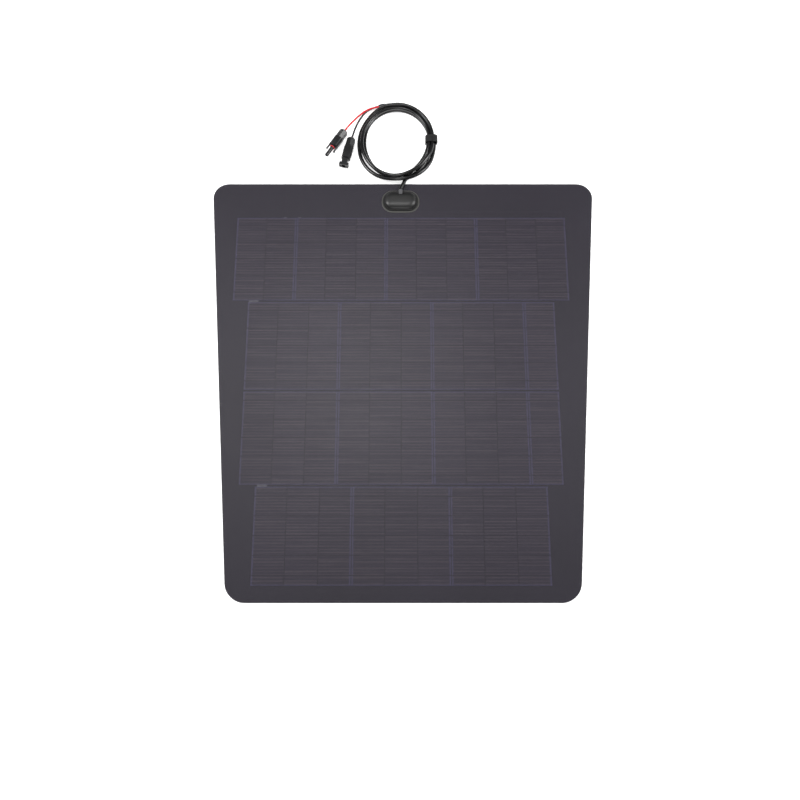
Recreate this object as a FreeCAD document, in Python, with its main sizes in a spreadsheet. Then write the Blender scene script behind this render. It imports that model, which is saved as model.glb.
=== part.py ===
import FreeCAD, Part
import Sketcher
import math
import os
import re
from FreeCAD import Placement, Rotation, Vector

# A flexible solar sheet: a thin laminate, wider at its junction-box end, with four rows of
# one-third-cut cells, a low junction box and a coiled two-core cable with a pair of
# plug-in connectors.  Millimetres.  The sheet lies face up: +Z out of the cell face,
# +Y towards the junction box, origin at the middle of the underside.

doc = FreeCAD.newDocument("solar_sheet")

DIMENSIONS = {
    # outline of the sheet
    "sheet_length": 740.0,
    "box_end_width": 682.0,
    "far_end_width": 558.0,
    "corner_radius": 30.0,
    # layers, from the back
    "board_thick": 1.0,
    "rear_layer_thick": 0.5,
    "front_layer_thick": 0.6,
    "film_thick": 0.3,
    "cell_thick": 0.2,
    # cell array
    "wafer_side": 158.75,
    "strip_gap": 0.4,
    "row_gap": 3.5,
    "array_x": -3.0,
    "array_y": -20.5,
    "flex_gap": 0.7,
    # copper in the laminate
    "ribbon_thick": 0.15,
    "ribbon_wide": 5.0,
    "tab_long": 10.0,
    "tab_wide": 6.0,
    "lead_lift": 0.05,
    # junction box
    "box_x": -4.0,
    "box_y": 334.3,
    "box_long": 61.0,
    "box_deep": 38.0,
    "box_corner": 17.0,
    "box_base_high": 3.0,
    "box_cover_high": 6.8,
    "box_dome_radius": 6.6,
    "box_wall": 2.5,
    "box_floor": 1.5,
    "cover_inset": 2.0,
    "box_lip_high": 2.0,
    "box_lip_wall": 1.5,
    "box_clearance": 0.3,
    "slot_clearance": 0.15,
    "gasket_inset": 0.7,
    "gasket_wide": 1.0,
    "gasket_thick": 0.8,
    "bead_wide": 3.2,
    "bead_high": 0.9,
    "grommet_radius": 4.0,
    "grommet_long": 9.8,
    "grommet_out": 1.5,
    "grommet_height": 5.2,
    "terminal_spread": 12.0,
    # cable
    "cable_radius": 3.5,
    "core_radius": 1.7,
    "coil_x": -12.2,
    "coil_y": 453.8,
    "coil_half_wide": 71.5,
    "coil_half_long": 79.5,
    "coil_band": 16.6,
    "coil_base": 1.6,
    "coil_high": 13.4,
    "coil_round": 5.0,
    "strap_y": 456.3,
    "strap_wide": 13.0,
    "strap_thick": 1.4,
    "strap_clear": 0.6,
    "strap_tail": 2.6,
    "sleeve_wall": 0.5,
    "sleeve_long": 12.0,
    # connectors, measured from the cable end of the cap nut
    "axis_height": 8.6,
    "nut_long": 17.0,
    "nut_radius": 8.5,
    "nut_hole": 2.3,
    "thread_radius": 6.0,
    "thread_start": 9.0,
    "thread_bore": 4.4,
    "body_start": 17.6,
    "body_wide": 16.4,
    "body_high": 14.0,
    "probe_body_end": 36.0,
    "probe_long": 60.0,
    "probe_radius": 3.4,
    "ring_radius": 4.1,
    "ring_thick": 1.9,
    "finger_long": 11.5,
    "finger_thick": 1.4,
    "finger_high": 5.0,
    "finger_offset": 7.3,
    "finger_gap": 0.2,
    "pin_radius": 2.0,
    "shell_body_end": 43.0,
    "shell_long": 58.5,
    "shell_bore": 4.2,
    "waist_wide": 10.6,
    "head_long": 5.5,
    "head_wide": 17.0,
    "head_high": 10.6,
    "pin_end": 50.0,
}

# strips in each wafer, row by row from the junction-box end
ROWS = [(2, 3, 3, 3), (3, 3, 3, 1), (3, 3, 3, 1), (3, 3, 3)]
STRIPS_PER_WAFER = 3
TAB_PLACES = (0.1, 0.3, 0.5, 0.7, 0.9)

# where each connector's cap nut ends, and the way the connector points
CONNECTORS = {
    "probe": {"nut_end": (-106.5, 475.1), "tip": (-138.4, 424.2)},
    "shell": {"nut_end": (-92.9, 459.5), "tip": (-107.0, 401.2)},
}

# routes of the loose cable, in millimetres
LEAD_ROUTE = [
    (-4.0, 351.8, 7.6),
    (-4.0, 356.2, 7.6),
    (-1.7, 362.2, 7.4),
    (1.4, 368.6, 6.7),
    (5.2, 378.8, 5.7),
]
TAIL_ROUTE = [
    (-5.0, 532.4, 5.4),
    (-14.6, 533.4, 5.2),
    (-24.0, 533.1, 5.0),
    (-33.0, 532.0, 4.9),
    (-42.0, 530.2, 4.8),
]
RED_ROUTE = [
    (-42.5, 528.6, 5.6),
    (-55.5, 525.4, 7.6),
    (-68.8, 518.4, 7.9),
    (-79.4, 509.9, 6.4),
    (-89.6, 498.6, 7.0),
    (-100.9, 484.0, 8.6),
    (-113.1, 464.5, 8.6),
]
BLACK_ROUTE = [
    (-42.5, 531.7, 4.1),
    (-56.0, 528.4, 2.1),
    (-68.4, 519.8, 1.9),
    (-77.2, 507.2, 2.5),
    (-83.8, 491.0, 6.2),
    (-90.4, 469.7, 8.6),
    (-95.8, 447.4, 8.6),
]

sheet = doc.addObject("Spreadsheet::Sheet", "dims")
for row_number, (alias, value) in enumerate(DIMENSIONS.items(), start=1):
    sheet.set(f"A{row_number}", alias.replace("_", " "))
    sheet.set(f"B{row_number}", str(value))
    sheet.setAlias(f"B{row_number}", alias)
doc.recompute()

PIECES = []


def size(alias):
    """A driving dimension as a number."""
    return float(sheet.get(alias))


def formula(text):
    """A formula in plain aliases, written the way the document reads it."""
    return re.sub(r"[a-z_]+", lambda w: "dims." + w.group() if w.group() in DIMENSIONS else w.group(), str(text))


def bind(thing, **properties):
    """Ties each property to a formula of the driving dimensions."""
    for name, text in properties.items():
        thing.setExpression(name.replace("__", "."), formula(text))


def place_at(thing, x, y, z):
    bind(thing, Placement__Base__x=x, Placement__Base__y=y, Placement__Base__z=z)


def block(name, long, wide, high, x=0, y=0, z=0):
    """A box from its low corner."""
    thing = doc.addObject("Part::Box", name)
    bind(thing, Length=long, Width=wide, Height=high)
    place_at(thing, x, y, z)
    return thing


def centred_block(name, long, wide, high, x, y, z):
    """A box whose x and y are its middle and whose z is its low face."""
    return block(name, long, wide, high, f"{x} - ({long}) / 2", f"{y} - ({wide}) / 2", z)


TURNS = {"x": Rotation(Vector(0, 1, 0), 90), "y": Rotation(Vector(1, 0, 0), -90), "z": Rotation()}


def rod(name, radius, long, along="x", x=0, y=0, z=0):
    """A round bar that starts at x, y, z and runs along an axis."""
    thing = doc.addObject("Part::Cylinder", name)
    thing.Placement = Placement(Vector(), TURNS[along])
    bind(thing, Radius=radius, Height=long)
    place_at(thing, x, y, z)
    return thing


def taper(name, radius, end_radius, long, x=0):
    """A cone along the x axis."""
    thing = doc.addObject("Part::Cone", name)
    thing.Placement = Placement(Vector(), TURNS["x"])
    bind(thing, Radius1=radius, Radius2=end_radius, Height=long)
    place_at(thing, x, 0, 0)
    return thing


def joined(name, things):
    thing = doc.addObject("Part::MultiFuse", name)
    thing.Shapes = things
    return thing


def group(name, things):
    """Separate solids that share one node."""
    thing = doc.addObject("Part::Compound", name)
    thing.Links = things
    return thing


def cut(name, base, *tools):
    thing = doc.addObject("Part::Cut", name)
    thing.Base = base
    thing.Tool = tools[0] if len(tools) == 1 else joined(name + "_tools", list(tools))
    return thing


def piece(node, thing):
    """Marks a sub-part: its label is the node's name."""
    thing.Label = node
    PIECES.append(thing)
    return thing


def edges_where(shape, wanted):
    return [f"Edge{i}" for i, edge in enumerate(shape.Edges, start=1) if wanted(edge)]


def is_upright(edge):
    low, high = edge.BoundBox.ZMin, edge.BoundBox.ZMax
    return edge.BoundBox.XLength < 1e-6 and edge.BoundBox.YLength < 1e-6 and high - low > 1e-6


def rounded(body, feature, radius, wanted):
    """A fillet on the edges that a test picks."""
    doc.recompute()
    fillet = body.newObject("PartDesign::Fillet", body.Name + "_round")
    fillet.Base = (feature, edges_where(feature.Shape, wanted))
    bind(fillet, Radius=radius)
    body.Tip = fillet
    return fillet


def outline_body(name, corners, high):
    """A padded four-sided outline; each corner is a pair of formulas."""
    body = doc.addObject("PartDesign::Body", name)
    sketch = body.newObject("Sketcher::SketchObject", name + "_sketch")
    floor = next(o for o in body.Origin.OriginFeatures if o.Role == "XY_Plane")
    sketch.AttachmentSupport = [(floor, "")]
    sketch.MapMode = "FlatFace"
    rough = [(-10, -10), (10, -10), (10, 10), (-10, 10)]
    for i, (x, y) in enumerate(rough):
        next_x, next_y = rough[(i + 1) % 4]
        sketch.addGeometry(Part.LineSegment(Vector(x, y, 0), Vector(next_x, next_y, 0)))
    for i in range(4):
        sketch.addConstraint(Sketcher.Constraint("Coincident", i, 2, (i + 1) % 4, 1))
    for i, (x, y) in enumerate(corners):
        for kind, text, value in (("DistanceX", x, rough[i][0]), ("DistanceY", y, rough[i][1])):
            number = sketch.addConstraint(Sketcher.Constraint(kind, -1, 1, i, 1, float(value)))
            sketch.setExpression(f"Constraints[{number}]", formula(text))
    pad = body.newObject("PartDesign::Pad", name + "_pad")
    pad.Profile = sketch
    bind(pad, Length=high)
    body.Tip = pad
    doc.recompute()
    return body, pad


def rounded_block(name, long, wide, high, corner, z, dome=None):
    """A box with rounded corners, centred on the junction box, and a domed top if asked."""
    half_x, half_y = f"({long}) / 2", f"({wide}) / 2"
    corners = [
        (f"0 - {half_x}", f"0 - {half_y}"),
        (half_x, f"0 - {half_y}"),
        (half_x, half_y),
        (f"0 - {half_x}", half_y),
    ]
    body, feature = outline_body(name, corners, high)
    feature = rounded(body, feature, corner, is_upright)
    if dome:
        doc.recompute()
        top = feature.Shape.BoundBox.ZMax
        on_top = lambda edge: edge.BoundBox.ZMin > top - 1e-6
        fillet = body.newObject("PartDesign::Fillet", name + "_dome")
        fillet.Base = (feature, edges_where(feature.Shape, on_top))
        bind(fillet, Radius=dome)
        body.Tip = fillet
    place_at(body, "box_x", "box_y", z)
    return body


# ---------------------------------------------------------------- heights of the layers
REAR_Z = "board_thick"
CELL_Z = "(board_thick + rear_layer_thick)"
FILM_Z = "(board_thick + rear_layer_thick + front_layer_thick)"
FACE_Z = "(board_thick + rear_layer_thick + front_layer_thick + film_thick)"
ARRAY_HIGH = "(4 * wafer_side + 3 * row_gap)"
MIDDLE_Y = "array_y"


def width_at(y):
    """Half of the sheet's width at a height y up the sheet."""
    slope = "(box_end_width - far_end_width) / (2 * sheet_length)"
    return f"((box_end_width + far_end_width) / 4 + ({y}) * {slope})"


def layer(node, half, z, thick):
    """One laminate layer of the upper or lower half of the sheet."""
    if half == "upper":
        low, high = f"({MIDDLE_Y} + flex_gap / 2)", "(sheet_length / 2)"
    else:
        low, high = "(0 - sheet_length / 2)", f"({MIDDLE_Y} - flex_gap / 2)"
    corners = [
        (f"0 - {width_at(low)}", low),
        (width_at(low), low),
        (width_at(high), high),
        (f"0 - {width_at(high)}", high),
    ]
    body, pad = outline_body(node, corners, thick)
    outer_end = size("sheet_length") / 2 * (1 if half == "upper" else -1)
    at_outer_end = lambda edge: is_upright(edge) and abs(edge.BoundBox.YMin - outer_end) < 1e-3
    rounded(body, pad, "corner_radius", at_outer_end)
    place_at(body, 0, 0, z)
    return body


def row_left(row):
    """Left end of a row of cells."""
    return f"(array_x - {sum(ROWS[row])} * wafer_side / 6)"


def row_bottom(row):
    return f"(array_y + {ARRAY_HIGH} / 2 - {row + 1} * wafer_side - {row} * row_gap)"


def half_of(row):
    return "upper" if row < 2 else "lower"


def wafer(row, number, first_strip, strips):
    """The strips cut from one wafer."""
    name = f"cells_row{row + 1}_wafer{number + 1}"
    things = []
    for k in range(first_strip, first_strip + strips):
        left = f"{row_left(row)} + {k} * wafer_side / 3 + strip_gap / 2"
        strip = block(f"{name}_strip{k}", "wafer_side / 3 - strip_gap", "wafer_side", "cell_thick",
                      left, row_bottom(row), CELL_Z)
        things.append(strip)
    piece(name, group(name, things))


def wafer_pocket(row, number, first_strip, strips):
    left = f"{row_left(row)} + {first_strip} * wafer_side / 3"
    return block(f"pocket_row{row + 1}_{number + 1}", f"{strips} * wafer_side / 3", "wafer_side",
                 "cell_thick", left, row_bottom(row), CELL_Z)


def each_wafer():
    for row, wafers in enumerate(ROWS):
        first_strip = 0
        for number, strips in enumerate(wafers):
            yield row, number, first_strip, strips
            first_strip += strips


def cell_tabs(name, half):
    """Copper tabs that join each strip to the next, behind the cells."""
    tabs = []
    for row, wafers in enumerate(ROWS):
        if half_of(row) != half:
            continue
        for k in range(1, sum(wafers)):
            for share in TAB_PLACES:
                x = f"{row_left(row)} + {k} * wafer_side / 3"
                y = f"{row_bottom(row)} + {share} * wafer_side"
                tabs.append(centred_block(f"{name}_{row}_{k}_{int(share * 10)}", "tab_long", "tab_wide",
                                          "ribbon_thick", x, y, f"{CELL_Z} - ribbon_thick"))
    return tabs


# ---------------------------------------------------------------- copper ribbons
UNDER_CELLS = f"({CELL_Z} - ribbon_thick)"
LEAD_LAYER = "(board_thick + lead_lift)"
LINK_REACH = 14.0
RETURN_X = 75.0
TAP_PLACES = (-209.0, -183.0)
TOP_BUS_Y = f"(array_y + {ARRAY_HIGH} / 2 + 5)"
PLUS_X = "(box_x - terminal_spread)"
MINUS_X = "(box_x + terminal_spread)"


def row_link(name, upper_row, right_end):
    """A ribbon that crosses the gap between two rows at one end."""
    if right_end:
        x = f"{row_left(upper_row + 1)} + {sum(ROWS[upper_row + 1])} * wafer_side / 3 - 10"
    else:
        x = f"{row_left(upper_row + 1)} + 10"
    y = f"{row_bottom(upper_row)} - row_gap / 2"
    return centred_block(name, "ribbon_wide", LINK_REACH, "ribbon_thick", x, y, UNDER_CELLS)


def ribbons(half):
    """Ribbons of one half of the sheet, as separate solids."""
    things = []
    if half == "upper":
        things.append(row_link("link_row1_row2", 0, right_end=False))
        for i, x in enumerate(TAP_PLACES):
            things.append(centred_block(f"tap_{i}", "ribbon_wide", LINK_REACH, "ribbon_thick", x,
                                        f"{row_bottom(0)} + wafer_side - 5", UNDER_CELLS))
        low_y = f"({MIDDLE_Y} + flex_gap / 2)"
        things.append(block("return_upper", "ribbon_wide", f"{TOP_BUS_Y} - {low_y}", "ribbon_thick",
                            RETURN_X, low_y, LEAD_LAYER))
        link_low = low_y
    else:
        things.append(row_link("link_row3_row4", 2, right_end=False))
        low_y = f"({row_bottom(3)} + 8)"
        high_y = f"({MIDDLE_Y} - flex_gap / 2)"
        things.append(block("return_lower", "ribbon_wide", f"{high_y} - {low_y}", "ribbon_thick",
                            RETURN_X, low_y, LEAD_LAYER))
        link_low = f"({high_y} - {LINK_REACH} / 2)"
    link_x = f"{row_left(2)} + {sum(ROWS[2])} * wafer_side / 3 - 12"
    things.append(block(f"link_row2_row3_{half}", "ribbon_wide", f"{LINK_REACH} / 2", "ribbon_thick",
                        link_x, link_low, UNDER_CELLS))
    return things


def riser(name, x):
    """The upright end of a lead, from the laminate to its terminal."""
    return centred_block(name, "ribbon_wide", "ribbon_thick", f"{TERMINAL_Z} - {UNDER_CELLS}",
                         x, "box_y", UNDER_CELLS)


TERMINAL_Z = f"({FACE_Z} + box_floor)"


def lead_positive():
    """From the right end of the first row, along the top margin, up into the box."""
    right = f"({row_left(0)} + {sum(ROWS[0])} * wafer_side / 3)"
    along = block("plus_along", f"{right} - 4 - {PLUS_X} + ribbon_wide / 2", "ribbon_wide", "ribbon_thick",
                  f"{PLUS_X} - ribbon_wide / 2", f"{TOP_BUS_Y} + 4", UNDER_CELLS)
    down = block("plus_down", "ribbon_wide", "19", "ribbon_thick", f"{right} - 4 - ribbon_wide",
                 f"{TOP_BUS_Y} - 12", UNDER_CELLS)
    up = block("plus_up", "ribbon_wide", f"box_y - {TOP_BUS_Y} - 4 + ribbon_thick / 2", "ribbon_thick",
               f"{PLUS_X} - ribbon_wide / 2", f"{TOP_BUS_Y} + 4", UNDER_CELLS)
    return joined("lead_positive", [along, down, up, riser("plus_riser", PLUS_X)])


def lead_negative():
    """From the return ribbon, along the top margin below the other lead, up into the box."""
    along = block("minus_along", f"{RETURN_X} + ribbon_wide - {MINUS_X} + ribbon_wide / 2", "ribbon_wide",
                  "ribbon_thick", f"{MINUS_X} - ribbon_wide / 2", TOP_BUS_Y, LEAD_LAYER)
    up = block("minus_up", "ribbon_wide", f"box_y - {TOP_BUS_Y} + ribbon_thick / 2", "ribbon_thick",
               f"{MINUS_X} - ribbon_wide / 2", TOP_BUS_Y, LEAD_LAYER)
    post = centred_block("minus_riser", "ribbon_wide", "ribbon_thick", f"{TERMINAL_Z} - {LEAD_LAYER}",
                         MINUS_X, "box_y", LEAD_LAYER)
    return joined("lead_negative", [along, up, post])


def riser_slots(name):
    """Slots that let the two risers through the front of the sheet and the box floor."""
    return [centred_block(f"{name}_slot_{side}", "ribbon_wide + 1", "2", "20", x, "box_y", CELL_Z)
            for side, x in (("plus", PLUS_X), ("minus", MINUS_X))]


# ---------------------------------------------------------------- the laminate
def laminate():
    for half in ("upper", "lower"):
        piece(f"board_{half}", layer(f"board_{half}", half, 0, "board_thick"))

        tabs = cell_tabs(f"cell_tabs_{half}", half)
        piece(f"cell_tabs_{half}", group(f"cell_tabs_{half}", tabs))
        strips = ribbons(half)
        piece(f"bus_ribbons_{half}", group(f"bus_ribbons_{half}", strips))
        rear = layer(f"rear_sheet_{half}", half, REAR_Z, "rear_layer_thick")
        tools = tabs + strips + ([PLUS, MINUS] if half == "upper" else [])
        piece(f"rear_encapsulant_{half}", cut(f"rear_encapsulant_{half}", rear, *tools))

        front = layer(f"front_sheet_{half}", half, CELL_Z, "front_layer_thick")
        pockets = [wafer_pocket(*w) for w in each_wafer() if half_of(w[0]) == half]
        film = layer(f"film_sheet_{half}", half, FILM_Z, "film_thick")
        if half == "upper":
            pockets += riser_slots("front")
            film = cut("front_film_upper", film, *riser_slots("film"))
        piece(f"front_encapsulant_{half}", cut(f"front_encapsulant_{half}", front, *pockets))
        piece(f"front_film_{half}", film)
    for w in each_wafer():
        wafer(*w)


PLUS = piece("lead_positive", lead_positive())
MINUS = piece("lead_negative", lead_negative())
laminate()


# ---------------------------------------------------------------- the junction box
COVER_Z = f"({FACE_Z} + box_base_high)"
GROMMET_Z = f"({FACE_Z} + grommet_height)"
GROMMET_START = "(box_y + box_deep / 2 + grommet_out - grommet_long)"


def grommet_hole(name, radius):
    return rod(name, radius, "grommet_long", "y", "box_x", GROMMET_START, GROMMET_Z)


def box_base():
    outer = rounded_block("base_outer", "box_long", "box_deep", "box_base_high", "box_corner", FACE_Z)
    inset = "(cover_inset + box_wall + box_clearance)"
    lip = rounded_block("base_lip", f"box_long - 2 * {inset}", f"box_deep - 2 * {inset}", "box_lip_high",
                        f"box_corner - {inset}", COVER_Z)
    room_inset = f"({inset} + box_lip_wall)"
    room = rounded_block("base_room", f"box_long - 2 * {room_inset}", f"box_deep - 2 * {room_inset}",
                         "box_base_high + box_lip_high", f"box_corner - {room_inset}", f"{FACE_Z} + box_floor")
    tools = [room, gasket_ring("base_groove"), grommet_hole("base_notch", "grommet_radius")]
    tools += riser_slots("base")
    return cut("box_base", joined("base_solid", [outer, lip]), *tools)


def gasket_ring(name):
    """A ring that lies in the top of the base, round the lip."""
    inset = "(cover_inset + gasket_inset)"
    outer = rounded_block(name + "_outer", f"box_long - 2 * {inset}", f"box_deep - 2 * {inset}", "gasket_thick",
                          f"box_corner - {inset}", f"{COVER_Z} - gasket_thick")
    inset = "(cover_inset + gasket_inset + gasket_wide)"
    inner = rounded_block(name + "_inner", f"box_long - 2 * {inset}", f"box_deep - 2 * {inset}", "gasket_thick",
                          f"box_corner - {inset}", f"{COVER_Z} - gasket_thick")
    return cut(name, outer, inner, grommet_hole(name + "_notch", "grommet_radius"))


def box_cover():
    outer = rounded_block("cover_outer", "box_long - 2 * cover_inset", "box_deep - 2 * cover_inset",
                          "box_cover_high", "box_corner - cover_inset", COVER_Z, dome="box_dome_radius")
    inset = "(cover_inset + box_wall)"
    room = rounded_block("cover_room", f"box_long - 2 * {inset}", f"box_deep - 2 * {inset}",
                         "box_cover_high - box_wall", f"box_corner - {inset}", COVER_Z)
    notch = block("cover_notch", "2 * (grommet_radius + slot_clearance)", "grommet_long + slot_clearance",
                  "box_cover_high + 1", "box_x - grommet_radius - slot_clearance",
                  f"{GROMMET_START} - slot_clearance", COVER_Z)
    return cut("box_cover", outer, room, notch)


def sealant_bead():
    outer = rounded_block("bead_outer", "box_long + 2 * bead_wide", "box_deep + 2 * bead_wide", "bead_high",
                          "box_corner + bead_wide", FACE_Z, dome="bead_high * 0.8")
    inner = rounded_block("bead_inner", "box_long", "box_deep", "bead_high", "box_corner", FACE_Z)
    return cut("sealant_bead", outer, inner, grommet_hole("bead_notch", "grommet_radius"))


def cable_grommet():
    """A rubber sleeve with a shallow socket for the cable."""
    sleeve = grommet_hole("grommet_solid", "grommet_radius")
    socket = rod("grommet_socket", "cable_radius", "3", "y", "box_x", "box_y + box_deep / 2 + grommet_out - 3",
                 GROMMET_Z)
    return cut("cable_grommet", sleeve, socket)


def terminal(name, x):
    """A bent tin-plated terminal with a slot for its riser."""
    foot = centred_block(name + "_foot", "9", "8", "0.8", x, "box_y - 2", TERMINAL_Z)
    post = centred_block(name + "_post", "7", "0.8", "4", x, "box_y - 5.6", TERMINAL_Z)
    slot = centred_block(name + "_slot", "ribbon_wide + 0.4", "0.6", "2", x, "box_y", TERMINAL_Z)
    return cut(name, joined(name + "_solid", [foot, post]), slot)


def bypass_diode():
    body = centred_block("diode_body", "7", "5.6", "2.4", "box_x", "box_y - 2", f"{TERMINAL_Z} + 0.9")
    leg_left = centred_block("diode_leg_left", "7", "2", "0.2", "box_x - 6.5", "box_y - 2", f"{TERMINAL_Z} + 0.8")
    leg_right = centred_block("diode_leg_right", "7", "2", "0.2", "box_x + 6.5", "box_y - 2",
                              f"{TERMINAL_Z} + 0.8")
    return joined("bypass_diode", [body, leg_left, leg_right])


piece("sealant_bead", sealant_bead())
piece("box_base", box_base())
piece("box_cover", box_cover())
piece("cover_gasket", gasket_ring("cover_gasket"))
piece("cable_grommet", cable_grommet())
piece("terminal_positive", terminal("terminal_positive", PLUS_X))
piece("terminal_negative", terminal("terminal_negative", MINUS_X))
piece("bypass_diode", bypass_diode())


# ---------------------------------------------------------------- the cable
def tube(node, route, radius):
    """A round tube along straight runs joined by tangent arcs, each as large as its runs allow."""
    points = [Vector(*p) for p in route]
    runs = [(b - a) for a, b in zip(points, points[1:])]
    edges = []
    radii = []
    start = points[0]
    for i in range(1, len(points) - 1):
        before, after = runs[i - 1], runs[i]
        turn = before.getAngle(after)
        reach = 0.45 * min(before.Length, after.Length)
        radii.append(reach / math.tan(turn / 2))
        arc_start = points[i] - before.normalize() * reach
        arc_end = points[i] + Vector(after).normalize() * reach
        runs[i - 1] = points[i] - points[i - 1]
        mid_way = (arc_start + arc_end) * 0.5
        outward = (points[i] - mid_way).normalize()
        sagitta = radii[-1] * (1 - math.cos(turn / 2))
        middle = mid_way + outward * sagitta
        edges.append(Part.LineSegment(start, arc_start).toShape())
        edges.append(Part.Arc(arc_start, middle, arc_end).toShape())
        start = arc_end
    edges.append(Part.LineSegment(start, points[-1]).toShape())
    path = Part.Wire(edges)
    section = Part.Wire(Part.Circle(points[0], points[1] - points[0], radius).toShape())
    solid = path.makePipeShell([section], True, False)
    thing = doc.addObject("Part::Feature", node)
    thing.Shape = solid
    plain = math.pi * radius ** 2 * path.Length
    print(f"{node}: length {path.Length:.1f}, radii {[round(r) for r in radii]}, "
          f"volume {solid.Volume:.1f} of {plain:.1f}")
    assert abs(solid.Volume / plain - 1) < 0.01, node
    return thing


def cable_coil():
    """The outer shape of the coiled cable: an oval ring with a rounded section."""
    half_band, half_high = size("coil_band") / 2, size("coil_high") / 2
    centre = Vector(size("coil_x"), size("coil_y"), size("coil_base") + half_high)
    far = centre + Vector(0, size("coil_half_long") - half_band, 0)
    side = centre + Vector(size("coil_half_wide") - half_band, 0, 0)
    path = Part.Wire(Part.Ellipse(far, side, centre).toShape())
    round_end = size("coil_round")
    flat_x, flat_z = half_band - round_end, half_high - round_end
    section = []
    for turn in range(4):
        along, across = (flat_x, flat_z) if turn % 2 == 0 else (flat_z, flat_x)
        reach = (half_band, half_high)[turn % 2]
        spin = Rotation(Vector(1, 0, 0), 90 * turn)
        to_place = lambda out, up: far + spin.multVec(Vector(0, out, up))
        section.append(Part.LineSegment(to_place(reach, -across), to_place(reach, across)).toShape())
        bend = round_end * (1 - math.sqrt(0.5))
        middle = to_place(reach - bend, across + round_end - bend)
        section.append(Part.Arc(to_place(reach, across), middle, to_place(along, across + round_end)).toShape())
    thing = doc.addObject("Part::Feature", "cable_coil")
    thing.Shape = path.makePipeShell([Part.Wire(section)], True, False)
    return thing


def coil_strap():
    """A hook-and-loop strap wrapped once round the right side of the coil, with a loose tail."""
    clear = "strap_clear"
    right_edge = "(coil_x + coil_half_wide)"
    inner_x = f"{right_edge} - coil_band - {clear}"
    loop = block("strap_outer", f"coil_band + 2 * {clear} + 2 * strap_thick", "strap_wide",
                 f"coil_high + 2 * strap_thick", f"{inner_x} - strap_thick",
                 "strap_y - strap_wide / 2", "coil_base - strap_thick")
    hollow = block("strap_hollow", f"coil_band + 2 * {clear}", "strap_wide + 2", "coil_high",
                   inner_x, "strap_y - strap_wide / 2 - 1", "coil_base")
    tail = block("strap_tail", "strap_tail", "strap_wide", "strap_thick",
                 f"{right_edge} + {clear} + strap_thick", "strap_y - strap_wide / 2",
                 "coil_base + coil_high - strap_thick * 2")
    return cut("coil_strap", joined("strap_solid", [loop, tail]), hollow)


def split_sleeve():
    """A short sleeve over the end of the sheath, open where the two cores leave."""
    end, before = Vector(*TAIL_ROUTE[-1]), Vector(*TAIL_ROUTE[-2])
    way = (end - before).normalize()
    long = size("sleeve_long")
    start = end - way * (long - 3)
    outer = Part.makeCylinder(size("cable_radius") + size("sleeve_wall"), long, start, way)
    inner = Part.makeCylinder(size("cable_radius"), long, start, way)
    thing = doc.addObject("Part::Feature", "split_sleeve")
    thing.Shape = outer.cut(inner)
    return thing


piece("cable_lead", tube("cable_lead", LEAD_ROUTE, size("cable_radius")))
piece("cable_coil", cable_coil())
piece("cable_tail", tube("cable_tail", TAIL_ROUTE, size("cable_radius")))
piece("split_sleeve", split_sleeve())
piece("coil_strap", coil_strap())
piece("red_core", tube("red_core", RED_ROUTE, size("core_radius")))
piece("black_core", tube("black_core", BLACK_ROUTE, size("core_radius")))


# ---------------------------------------------------------------- the connectors
def set_down(kind, thing):
    """Lays a connector's piece, made along the x axis, where that connector lies."""
    nut_end = Vector(*CONNECTORS[kind]["nut_end"], size("axis_height"))
    tip = Vector(*CONNECTORS[kind]["tip"], size("axis_height"))
    heading = math.degrees(math.atan2(tip.y - nut_end.y, tip.x - nut_end.x))
    thing.Placement = Placement(nut_end, Rotation(Vector(0, 0, 1), heading))
    bind(thing, Placement__Base__z="axis_height")
    return thing


def beam(name, long, wide, high, x, y="0"):
    """A box along the connector's axis, centred on it."""
    return block(name, long, wide, high, x, f"{y} - ({wide}) / 2", f"0 - ({high}) / 2")


def cap_nut(kind):
    name = f"{kind}_cap_nut"
    hexagon = doc.addObject("Part::Prism", name + "_hexagon")
    hexagon.Polygon = 6
    hexagon.Placement = Placement(Vector(), Rotation(Vector(0, 1, 0), 90))
    bind(hexagon, Circumradius="nut_radius", Height="nut_long")
    envelope = joined(name + "_envelope", [
        taper(name + "_shoulder", "nut_radius - 2.4", "nut_radius + 0.2", "4"),
        rod(name + "_barrel", "nut_radius - 0.3", "nut_long - 4", x="4"),
    ])
    blank = doc.addObject("Part::Common", name + "_blank")
    blank.Base, blank.Tool = hexagon, envelope
    hole = rod(name + "_hole", "nut_hole", "nut_long")
    seat = taper(name + "_seat", "nut_hole + 0.2", "thread_bore + 0.2", "3.4", x="3")
    thread = rod(name + "_thread", "thread_radius + 0.3", "nut_long", x="6.4")
    return cut(name, blank, hole, seat, thread)


def clamp_cage(kind):
    """A slotted sleeve that the cap nut closes on the core."""
    name = f"{kind}_clamp_cage"
    wall = joined(name + "_wall", [
        taper(name + "_nose", "nut_hole + 0.4", "thread_bore - 0.4", "2.6", x="4.2"),
        rod(name + "_barrel", "thread_bore - 0.4", "6.4", x="6.8"),
    ])
    bore = rod(name + "_bore", "core_radius + 1.2", "12", x="3")
    slots = [beam(name + "_slot_flat", "5", "10", "0.7", "3"), beam(name + "_slot_up", "5", "0.7", "10", "3")]
    return cut(name, wall, bore, *slots)


def cable_seal(kind):
    """A rubber ring pressed round the core inside the clamp cage."""
    name = f"{kind}_cable_seal"
    return cut(name, rod(name + "_ring", "core_radius + 1.1", "4", x="9"),
               rod(name + "_hole", "core_radius", "6", x="8"))


def rear_sleeve(name):
    """The threaded tube that the cap nut screws on to."""
    return rod(name, "thread_radius", "body_start - thread_start + 1", x="thread_start")


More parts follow.
